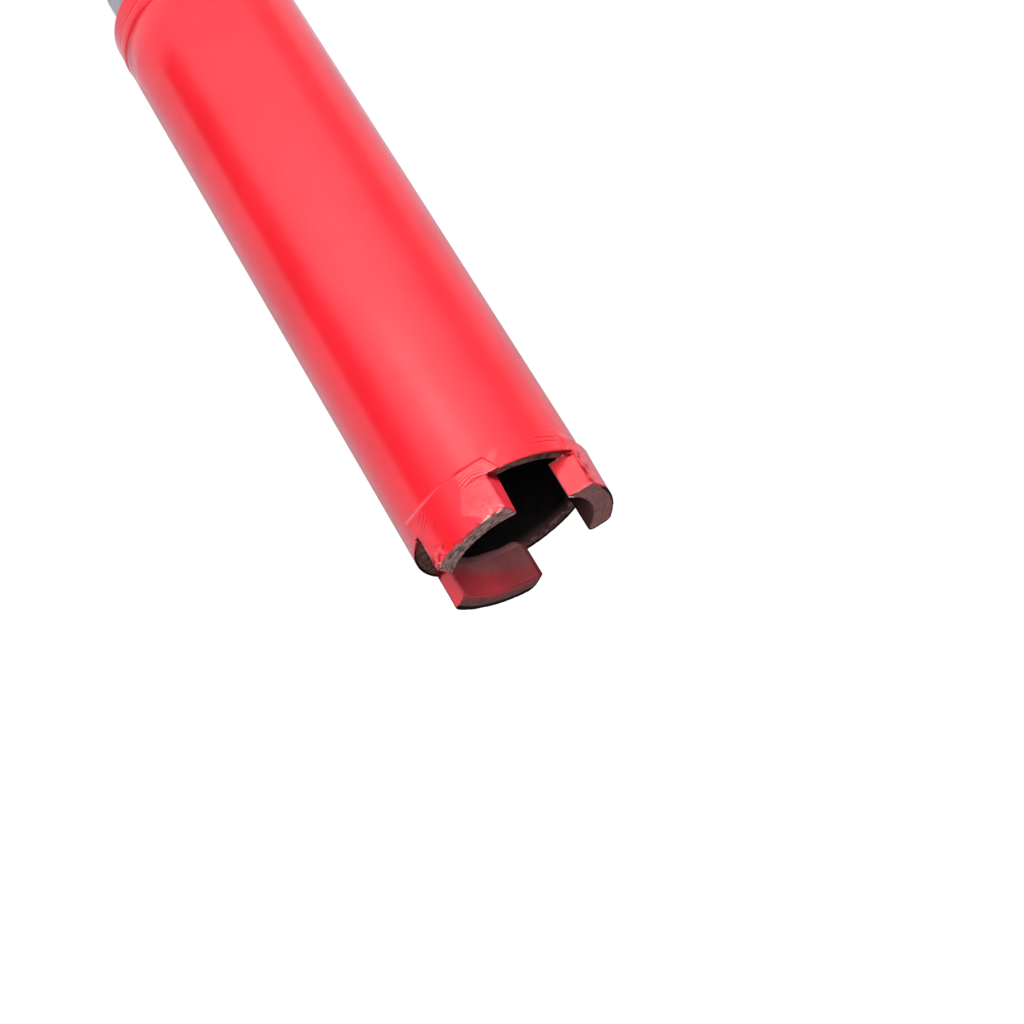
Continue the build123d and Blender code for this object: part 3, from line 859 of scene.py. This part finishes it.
        # painted highlight at the corner, and pale flecks along the outer edge further on
        pale[:n_top] += 0.75 * bump(V0, -8.4, 0.9) * bump(d_o, 0.35, 0.35)
        pale[wall] += 0.6 * bump(WV, -8.4, 0.9) * bump(zt, 0.15, 0.2) * outer
        pale[:n_top] += 0.7 * smooth(0.2, 0.5, fbm(P3 * 1.4, 232, 2)) * smooth(1.4, 0.4, d_o) * smooth(5, 9, V0)
    if number == 2:
        # painted highlights along the plus edge and the inner corner of the cutting face
        tone[:n_top] += 0.55 * bump(edge_p, 0.05, 0.20)
        pale[:n_top] += 0.8 * bump(d_i, 0.26, 0.16) * smooth(8.2, 9.2, V0)
    # black painted shade along the rims and sides that are turned away
    if number == 2:
        black_rim_shade[:n_top] = smooth(0.62, 0.34, d_o + 0.08 * grit) * smooth(7.0, 4.5, V0) + smooth(0.80, 0.45, edge_m + 0.1 * grit) 
        rag = 0.40 * fbm(q * 0.9, 241, 3)
        black_rim_shade[wall] = np.clip(outer * smooth(6.0, 4.0, WV) + side_m, 0, 1) * smooth(0.9, 0.55, zt + rag * smooth(0.15, 0.6, zt)) + inner * smooth(-8.9, -9.3, WV)
    if number == 3:
        rag = 0.45 * fbm(q * 0.9, 242, 3)
        black_rim_shade[:n_top] = smooth(1.45, 1.15, d_o + 0.12 * grit) + smooth(0.55, 0.30, edge_p)
        black_rim_shade[wall] = outer * smooth(1.15, 0.75, zt + rag * smooth(0.2, 0.8, zt)) + side_p * smooth(-0.25, 0.10, rag + 0.55 * smooth(2.6, 0.8, zt) + 0.30 * smooth(0.6, 0.95, WW))
        # painted shade over the turned-away side and along the edges of the inner face; black painted shade at the near
        # end
        tone[wall] -= 0.80 * side_p + inner * (0.45 * smooth(9.2, 9.7, WV) + 0.22 * bump(WV, 8.3, 0.9) * smooth(4.2, 6.4, zt))
        black_rim_shade[wall] += side_m * smooth(18.05, 18.25, WU) + outer * smooth(-8.0, -9.2, WV + rag) * smooth(6.6, 7.4, zt + rag)
        stain[:n_top] = 0.75 * smooth(1.7, 0.5, d_i + 0.5 * tongue)
        across[:n_top] = V0 * MM
    if number == 2:
        stain[:n_top] = 0.25 * smooth(0.9, 0.3, edge_p + 0.4 * tongue)
    marks = dict(tone=tone, bare=bare, inner=inn, pale=np.clip(pale, 0, 1), black_rim_shade=np.clip(black_rim_shade, 0, 1), stain=np.clip(stain, 0, 1), across=across, painted_side_light=painted_side_light)
    # the dulled copy goes where black or dark painted shade lies
    dull = (mean_of(marks["black_rim_shade"], f) > 0.5) | (mean_of(tone, f) < -0.28)
    idx = np.where(dull, 2, np.where(mean_of(bare, f) > 0.5, 1, 0))
    return build(f"diamond_segment_{number}", v, f, M_SEG[number], idx, (f"segment_{number}",), marks)


# ---------------------------------------------------------------- braze
def pad_radius(number, th, zt):
    """Radius of the ground pad at local angle th (degrees) and zt mm below the tips."""
    ang, shift, skew = SEGS[number]
    zr = ridge_line(number, th)
    # the segment's outer face, carried on up the tube
    ax, ay = SEG_MID * (1 - math.cos(math.radians(skew))) + shift, -SEG_MID * math.sin(math.radians(skew))
    tc = np.clip(th, -27, 27)
    top = SEG_R + ax * np.cos(np.radians(tc)) + ay * np.sin(np.radians(tc)) - TUBE_R
    if number == 2:
        top = top + 0.03 + 0.030 * np.minimum(zt, 11.5)
    s = np.radians(th) * 21.0
    o = np.zeros_like(s)
    t = top + relief(number, th, zt) - 0.03 * smooth(8.6, 7.8, zt)
    t = t + 0.05 * bump(zt, zr - 0.35, 0.40)
    steep = 0.95 - 0.45 * (1 - smooth(-14, 0, th)) if number == 1 else 0.95
    if number == 2:
        steep = 1.5 + 1.2 * smooth(14, 26, th)
    t = t * (1 - smooth(zr - 0.15, zr + steep, zt))
    if number == 1:
        lo = -36.2 + (zt - 8.7) * 1.45
        hi = 33.0 + 2.5 * smooth(9.5, 12.6, zt)
        soft_hi = 2.2
    elif number == 2:
        lo = -34.5 + 0.6 * (zt - 8.7)
        hi = 37.0 - 0.7 * (zt - 8.7)
        soft_hi = 5.5
    else:
        lo = -35.0 + 0.8 * (zt - 8.7)
        hi = 35.0 - 0.8 * (zt - 8.7)
        soft_hi = 1.2
    side = smooth(lo - 0.6, lo + 0.7, th) * (1 - smooth(hi - soft_hi, hi + 0.4, th))
    return TUBE_R + np.minimum(t * side, 0.82)


def braze(number):
    ang, shift, skew = SEGS[number]
    form = SHAPE[number]
    a = math.radians(ang)
    m, t = np.array([math.cos(a), math.sin(a)]), np.array([-math.sin(a), math.cos(a)])
    ends = []
    for end, side in ((-form["minus"], -1), (form["plus"], 1)):
        cu, cv = settle(number, math.sqrt(SEG_R ** 2 - end ** 2) + shift, end, 1.0, side, 8.6)
        ends.append(math.degrees(math.atan2(cv, cu)))
    edge_m, edge_p = ends
    th = np.linspace(-37.6, 38.6, 250)
    zt = np.concatenate([np.linspace(7.8, 8.55, 8), np.linspace(8.6, 14.8, 78)])
    T, Z = np.meshgrid(th, zt)
    past = (T < edge_m + 1.6) | (T > edge_p - 1.6)
    Z = np.where(past & (Z < 8.62), 8.62 + (Z - 7.8) * 0.001, Z)
    R = pad_radius(number, T.ravel(), Z.ravel()).reshape(T.shape)
    R = np.where(R < TUBE_R + 0.002, TUBE_R - 0.020, R)
    # the pad's own rim over the gullets is rounded
    R = R - np.where(past, 0.06 * smooth(8.85, 8.6, Z), 0)
    phi = np.radians(T + ang)
    skin = np.stack([R * np.cos(phi), R * np.sin(phi), TIP_Z - Z], 2).reshape(-1, 3)
    under_r = TUBE_R - 0.3
    under = np.stack([under_r * np.cos(phi), under_r * np.sin(phi), TIP_Z - Z], 2).reshape(-1, 3)
    ids = np.arange(skin.shape[0]).reshape(T.shape)
    n0 = skin.shape[0]
    A, B, C, D = ids[:-1, :-1], ids[:-1, 1:], ids[1:, 1:], ids[1:, :-1]
    f = [np.stack([A, D, C, B], 2).reshape(-1, 4), np.stack([A, B, C, D], 2).reshape(-1, 4) + n0]
    for line in (ids[0, :], ids[:, -1], ids[-1, ::-1], ids[::-1, 0]):
        f.append(np.stack([line[:-1], line[1:], line[1:] + n0, line[:-1] + n0], 1))
    n_pad = sum(len(x) for x in f)
    tone_pad = tone_of(number, T.ravel(), Z.ravel())
    # painted shade along the pad's lower rim
    tone_under = -1.0 * bump(Z.ravel(), 8.62, 0.3)
    # bead of filler inside, under the overhang of the segment
    nb = 130
    v0 = np.linspace(-form["minus"] + 0.10, form["plus"] - 0.10, nb)
    if number == 1:
        v0 = np.linspace(-form["minus"] + 1.0, form["plus"] + 0.9, nb)
    if number == 2:
        v0 = np.linspace(-form["minus"] + 0.10, form["plus"] - 1.3, nb)
    ci, si = math.cos(math.radians(skew)), math.sin(math.radians(skew))
    # inner face of the segment along the same lines, with its skew
    ax, ay = SEG_MID * (1 - ci) + shift, -SEG_MID * si
    u_i = ax + np.sqrt(np.maximum((SEG_R - SEG_T) ** 2 - (v0 - ay) ** 2, 0))
    u_w = np.sqrt(TUBE_RI ** 2 - v0 ** 2)
    drop = {1: 1.6, 2: 0.9, 3: 1.75}[number] * (1 + 0.10 * vnoise(np.column_stack([v0 * 0.3, v0 * 0, v0 * 0]), 300 + number))
    if number == 3:
        drop = drop + np.interp(v0, (-9.5, -6.5, 0, 6), (1.25, 1.15, 0.50, 0.15))
    drop = drop * (0.55 + 0.45 * smooth(10.0, 8.6, np.abs(v0)))
    rows = []
    steps = 14
    for j in range(steps + 1):
        b = j / steps
        p0, p1, p2 = (1 - b) ** 2, 2 * b * (1 - b), b * b
        uu = p0 * (u_i + 0.06) + p1 * (u_i - 0.05) + p2 * (u_w + 0.12)
        zz = p0 * 7.9 + p1 * (8.5 + drop) + p2 * (8.6 + drop)
        uu = uu - 0.03 * vnoise(np.column_stack([v0 * 0.7, v0 * 0 + j * 0.35, v0 * 0]), 310 + number) * math.sin(math.pi * b)
        rows.append((uu, zz))
    rows.append((u_w + 0.30, 8.6 + drop))
    rows.append((u_w + 0.30, np.full(nb, 7.9)))
    bead = np.concatenate([np.column_stack([uu * m[0] + v0 * t[0], uu * m[1] + v0 * t[1], TIP_Z - zz]) for uu, zz in rows])
    K = len(rows)
    g = 2 * n0 + np.arange(K * nb).reshape(K, nb)
    for j in range(K):
        j2 = (j + 1) % K
        f.append(np.stack([g[j, :-1], g[j, 1:], g[j2, 1:], g[j2, :-1]], 1))
    faces = [list(x) for x in np.concatenate(f)] + [list(g[::-1, 0]), list(g[:, -1])]
    v = np.concatenate([skin, under, bead])
    idx = np.zeros(len(faces), int)
    # dulled paint where the tone is dark, under painted shade
    idx[:n_pad] = np.where(mean_of(np.concatenate([tone_pad, tone_under]), np.concatenate(f[:6])) < -0.18, 2, 0)
    idx[n_pad:] = 1
    bt = np.tile(np.linspace(0, 1, K), (nb, 1)).T.ravel()
    bv = np.tile(v0, K)
    # painted shade over the bead in the overhang; segment 3's is paler at its top
    if number == 3:
        tone_bead = 0.20 * smooth(0.56, 0.46, bt) - 0.9 * smooth(0.56, 0.78, bt) - 0.9 * smooth(9.2, 9.7, bv)
    else:
        tone_bead = np.full(len(bt), -0.95)
    tone = np.concatenate([tone_pad, tone_under, tone_bead])
    black_rim_shade = tone * 0
    # black painted shade along the foot of segment 3's pad
    if number == 3:
        rag = 0.25 * fbm(np.column_stack([np.radians(T.ravel()) * 14.0, Z.ravel(), Z.ravel() * 0]), 243, 3)
        black_rim_shade[:2 * n0] = np.tile(smooth(9.10, 8.95, Z.ravel() + rag), 2)
        idx[:n_pad] = np.where(mean_of(black_rim_shade[:2 * n0], np.concatenate(f[:6])) > 0.5, 3, idx[:n_pad])
    return build(f"braze_{number}", v, faces, [M_PAINT, M_BRAZE, M_SHADE, M_RIM_SHADE], idx, (f"braze_joint_{number}",), dict(tone=tone, black_rim_shade=black_rim_shade))


# ---------------------------------------------------------------- hub and weld
def hub():
    pitch, minor, major = 1.814, 9.33, 10.46
    rings, kind = [], []

    def add(pts, k):
        for p in pts:
            rings.append(p); kind.append(k)

    # outside, from the face up
    add([(10.9, 0.0)] + [(r, 0.0) for r in np.linspace(11.6, 15.9, 8)] + arc(16.4, 0.6, 0.6, -90, 0, 5), "boss")
    add([(17.0, z) for z in np.linspace(1.0, 10.7, 20)], "boss")
    add([(17.0, 10.95), (17.0, 11.0)], "boss")
    add([(17.0, 11.02), (17.0, 11.3)] + [(17.0, z) for z in np.linspace(11.6, 13.4, 6)], "round")
    add(arc(17.5, 13.5, 0.5, 180, 90, 5), "round")
    add([(r, 14.0) for r in np.linspace(17.8, 19.6, 5)], "round")
    add(arc(19.85, 14.75, 0.75, -90, 0, 6), "round")
    add([(TUBE_R, z) for z in np.linspace(15.0, 18.6, 12)], "round")
    add([(TUBE_R - 1.4, 20.0), (TUBE_RI, 20.05)], "round")
    add([(TUBE_RI - 0.01, z) for z in (21.0, 23.0, 25.2)], "round")
    add([(TUBE_RI - 0.25, 25.75), (TUBE_RI - 0.8, 26.0)], "round")
    add([(r, 26.0) for r in np.linspace(16.5, 7.6, 12)], "round")
    add([(6.9, 25.9), (6.5, 25.5), (6.5, 23.5), (6.5, 21.2)], "round")
    add([(8.2, 20.0), (9.2, 19.1)], "round")
    zs = np.linspace(18.9, 0.95, 150)
    add([(minor, z) for z in zs], "thread")
    add([(9.9, 0.62), (10.4, 0.2)], "round")
    n = len(rings)
    count = 300
    phi = np.arange(count) / count * 2 * math.pi
    v = np.zeros((n, count, 3))
    for i, ((r, z), kd) in enumerate(zip(rings, kind)):
        rr = np.full(count, float(r))
        zz = np.full(count, float(z))
        if kd == "boss" and r > 14.0:
            cap = (15.0 - (17.0 - r) * 0.9) / np.maximum(np.abs(np.sin(phi)), 1e-6)
            rr = np.minimum(rr, cap)
        if kd == "thread":
            ph = ((z / pitch) - phi / (2 * math.pi)) % 1.0
            tri = 1 - np.abs(2 * ph - 1)                    # 0 at the crest, 1 at the root
            depth = smooth(0.08, 0.92, tri)
            run = smooth(18.9, 16.6, z) * smooth(0.6, 1.6, z)
            rr = minor + (major - minor) * depth * run
            lead = smooth(1.9, 0.9, z)
            rr = np.maximum(rr, minor + 0.55 * lead)
        v[i] = np.stack([rr * np.cos(phi), rr * np.sin(phi), zz], 1)
    # the faces, and which are painted and which are inside
    v = v.reshape(-1, 3)
    k = np.arange(n)[:, None]
    j = np.arange(count)[None, :]
    k2, j2 = (k + 1) % n, (j + 1) % count
    f = np.stack([k * count + j, k * count + j2, k2 * count + j2, k2 * count + j], 2).reshape(-1, 4)
    zc = v[f].mean(1)
    rc = np.hypot(zc[:, 0], zc[:, 1])
    idx = np.where((zc[:, 2] > 14.05) & (zc[:, 2] < 20.0) & (rc > 19.0), 1, 0)
    idx = np.where((zc[:, 2] > 19.9) & (rc > 6.6), 2, idx)
    o = build("hub_body", v, f, [M_STEEL, M_PAINT, M_INSIDE], idx, ("hub",))
    return o


def weld():
    z0 = 20.0
    count = 900
    prof = arc(TUBE_R - 3.6, z0, 0, 0, 0, 1)
    pts = []
    for s in np.linspace(-1.4, 1.4, 15):
        pts.append((TUBE_R + 0.20 * math.cos(s / 1.4 * math.pi / 2) ** 0.8 if abs(s) < 1.39 else TUBE_R - 0.02, z0 + s))
    rings = pts + [(TUBE_R - 0.9, z0 + 0.5), (TUBE_R - 0.9, z0 - 0.5)]
    phi = np.arange(count) / count * 2 * math.pi

    def radius(r, z, ph):
        if r < TUBE_R:
            return np.full(count, r)
        s = (z - z0) / 1.4
        ripple = np.cos(ph * 150 - 5.5 * s * s)
        q = np.column_stack([np.cos(ph) * 12, np.sin(ph) * 12, np.full(count, z * 0.4)])
        return r + 0.030 * (ripple - 0.6) * (1 - s * s) + 0.02 * vnoise(q, 300) * (1 - s * s)

    v, f, ring = lathe(rings, count, radius)
    return build("hub_weld_bead", v, f, [M_PAINT], None, ("hub_weld",))


tube()
for number in SEGS:
    segment(number)
    braze(number)
hub()
weld()

# ---------------------------------------------------------------- floor
def floor_mat(name, glow, tint=(1, 1, 1, 1)):
    """A matt white light table: lit from above, and from below through its sheet."""
    k = Mat(name)
    g = k.noise(6.0, 2.0)
    k.bsdf.inputs["Emission Color"].default_value = tint
    k.bsdf.inputs["Emission Strength"].default_value = glow
    k.bsdf.inputs["Specular IOR Level"].default_value = 0.0
    return k.finish(k.mix(g, (0.50, 0.50, 0.50), (0.51, 0.51, 0.51)), 0.95)


def flat(name, corners, material):
    me = bpy.data.meshes.new(name)
    me.from_pydata(corners, [], [tuple(range(len(corners)))])
    me.materials.append(material)
    o = bpy.data.objects.new(name, me)
    bpy.context.scene.collection.objects.link(o)
    return o


floor = flat("floor", [(-9, -9, 0), (9, -9, 0), (9, 9, 0), (-9, 9, 0)], floor_mat("studio_floor", 0.74))
floor.visible_glossy = False
# a plain pale wall round the table, for the camera alone
turn = [(8.9 * math.cos(a), 8.9 * math.sin(a)) for a in (math.radians(5 * i) for i in range(72))]
wall_me = bpy.data.meshes.new("backdrop")
wall_me.from_pydata([(x, y, 0) for x, y in turn] + [(x, y, 8) for x, y in turn], [], [(i, (i + 1) % 72, 72 + (i + 1) % 72, 72 + i) for i in range(72)])
wall_me.materials.append(floor_mat("backdrop_wall", 0.80))
backdrop = bpy.data.objects.new("backdrop", wall_me)
bpy.context.scene.collection.objects.link(backdrop)
for away in ("glossy", "diffuse", "shadow", "transmission", "volume_scatter"):
    setattr(backdrop, "visible_" + away, False)
# the same table as the gloss of the paint sees it, a little darker
mirror = flat("floor_in_gloss", [(-9, -9, 0.001), (9, -9, 0.001), (9, 9, 0.001), (-9, 9, 0.001)], floor_mat("gloss_floor", 0.46, (1, 0.98, 1.22, 1)))
for away in ("camera", "diffuse", "shadow", "transmission", "volume_scatter"):
    setattr(mirror, "visible_" + away, False)


def card(name, az_lo, az_hi, soft_lo, soft_hi, level, strength):
    """A grey card lying on the table, seen only in the gloss of the paint. Its two edges run along azimuths az_lo and az_hi, in degrees."""
    k = Mat(name + "_grey")
    k.t.nodes.remove(k.bsdf)

    def edge(az, soft, sign):
        a = math.radians(az)
        phi = math.radians((az - 90) / 2)
        ox, oy = TUBE_R * MM * math.cos(phi), TUBE_R * MM * math.sin(phi)
        px, py = k.math("SUBTRACT", k.x, ox), k.math("SUBTRACT", k.y, oy)
        along = k.math("ADD", k.math("MULTIPLY", px, math.cos(a)), k.math("MULTIPLY", py, math.sin(a)))
        across = k.math("SUBTRACT", k.math("MULTIPLY", py, math.cos(a)), k.math("MULTIPLY", px, math.sin(a)))
        off = k.math("MULTIPLY", k.math("ARCTAN2", across, along), sign)
        return k.ramp(off, -math.radians(soft), math.radians(soft))

    f = k.math("MULTIPLY", edge(az_lo, soft_lo, 1.0), edge(az_hi, soft_hi, -1.0))
    f = k.math("MULTIPLY", f, strength)
    em = k.t.nodes.new("ShaderNodeEmission")
    em.inputs["Strength"].default_value = level
    clear = k.t.nodes.new("ShaderNodeBsdfTransparent")
    mix = k.t.nodes.new("ShaderNodeMixShader")
    k.t.links.new(f, mix.inputs[0])
    k.t.links.new(clear.outputs[0], mix.inputs[1])
    k.t.links.new(em.outputs[0], mix.inputs[2])
    k.t.links.new(mix.outputs[0], k.out.inputs[0])
    pts = []
    for az, r in ((az_lo - soft_lo * 1.5, 0.045), (az_lo - soft_lo * 1.5, 0.9), ((az_lo + az_hi) / 2, 1.0), (az_hi + soft_hi * 1.5, 0.9), (az_hi + soft_hi * 1.5, 0.045)):
        a = math.radians(az)
        phi = math.radians((az - 90) / 2)
        pts.append((TUBE_R * MM * math.cos(phi) + r * math.cos(a), TUBE_R * MM * math.sin(phi) + r * math.sin(a), 0.002))
    o = flat(name, pts, k.m)
    for away in ("camera", "diffuse", "shadow", "transmission", "volume_scatter"):
        setattr(o, "visible_" + away, False)
    return o


card("card_left", -40.0, -8.0, 14.0, 2.0, 0.06, 1.0).visible_diffuse = True
card("card_right", -186.0, -154.0, 10.0, 12.0, 0.30, 0.85)
card("card_back", 62.0, 128.0, 14.0, 9.0, 0.42, 0.75)

# ---------------------------------------------------------------- light
def area(name, loc, target, size, power, color=(1, 1, 1), spread=180.0, size_y=None):
    d = bpy.data.lights.new(name, "AREA")
    d.energy = power
    d.color = color
    d.shape = "RECTANGLE"
    d.size = size
    d.size_y = size_y or size
    d.spread = math.radians(spread)
    o = bpy.data.objects.new(name, d)
    o.location = loc
    o.rotation_mode = "QUATERNION"
    o.rotation_quaternion = (Vector(target) - Vector(loc)).to_track_quat("-Z", "Y")
    o.visible_camera = False
    bpy.context.scene.collection.objects.link(o)
    return o


area("overhead", (0, 1.5, 3.0), (0, 1.5, 0), 4.0, 50.0, size_y=5.0)
area("key", (-0.10, -1.2, 0.50), (0, 0, 0.12), 0.8, 16.0)


def spot(name, loc, target, angle, power, soft=0.06):
    d = bpy.data.lights.new(name, "SPOT")
    d.energy = power
    d.spot_size = math.radians(angle)
    d.spot_blend = 1.0
    d.shadow_soft_size = soft
    o = bpy.data.objects.new(name, d)
    o.location = loc
    o.rotation_mode = "QUATERNION"
    o.rotation_quaternion = (Vector(target) - Vector(loc)).to_track_quat("-Z", "Y")
    o.visible_camera = False
    bpy.context.scene.collection.objects.link(o)
    return o


# a soft pool of light on the table in front of the tube
spot("pool", (-0.06, -0.75, 1.1), (-0.02, -0.27, 0), 22, 150.0)
spot("pool_core", (0.0, -0.70, 1.1), (0.016, -0.33, 0), 11, 140.0, 0.03)

world = bpy.data.worlds.new("studio")
bpy.context.scene.world = world
world.use_nodes = True
bg = world.node_tree.nodes["Background"]
bg.inputs[0].default_value = (1, 1, 1, 1)
bg.inputs[1].default_value = 0.20

# ---------------------------------------------------------------- camera
cam_data = bpy.data.cameras.new("camera")
cam_data.sensor_width = 36.0
cam_data.lens = 76.2
cam_data.clip_start = 0.01
cam_data.clip_end = 50.0
cam = bpy.data.objects.new("camera", cam_data)
right = Vector((-0.85316, 0.21875, 0.47356))
up = Vector((-0.52165, -0.35777, -0.77452))
back = right.cross(up)
cam.matrix_world = Matrix((
    (right.x, up.x, back.x, -0.001778),
    (right.y, up.y, back.y, -0.403453),
    (right.z, up.z, back.z, 0.354136),
    (0, 0, 0, 1),
))
bpy.context.scene.collection.objects.link(cam)
bpy.context.scene.camera = cam
bpy.context.scene.view_settings.view_transform = "Standard"
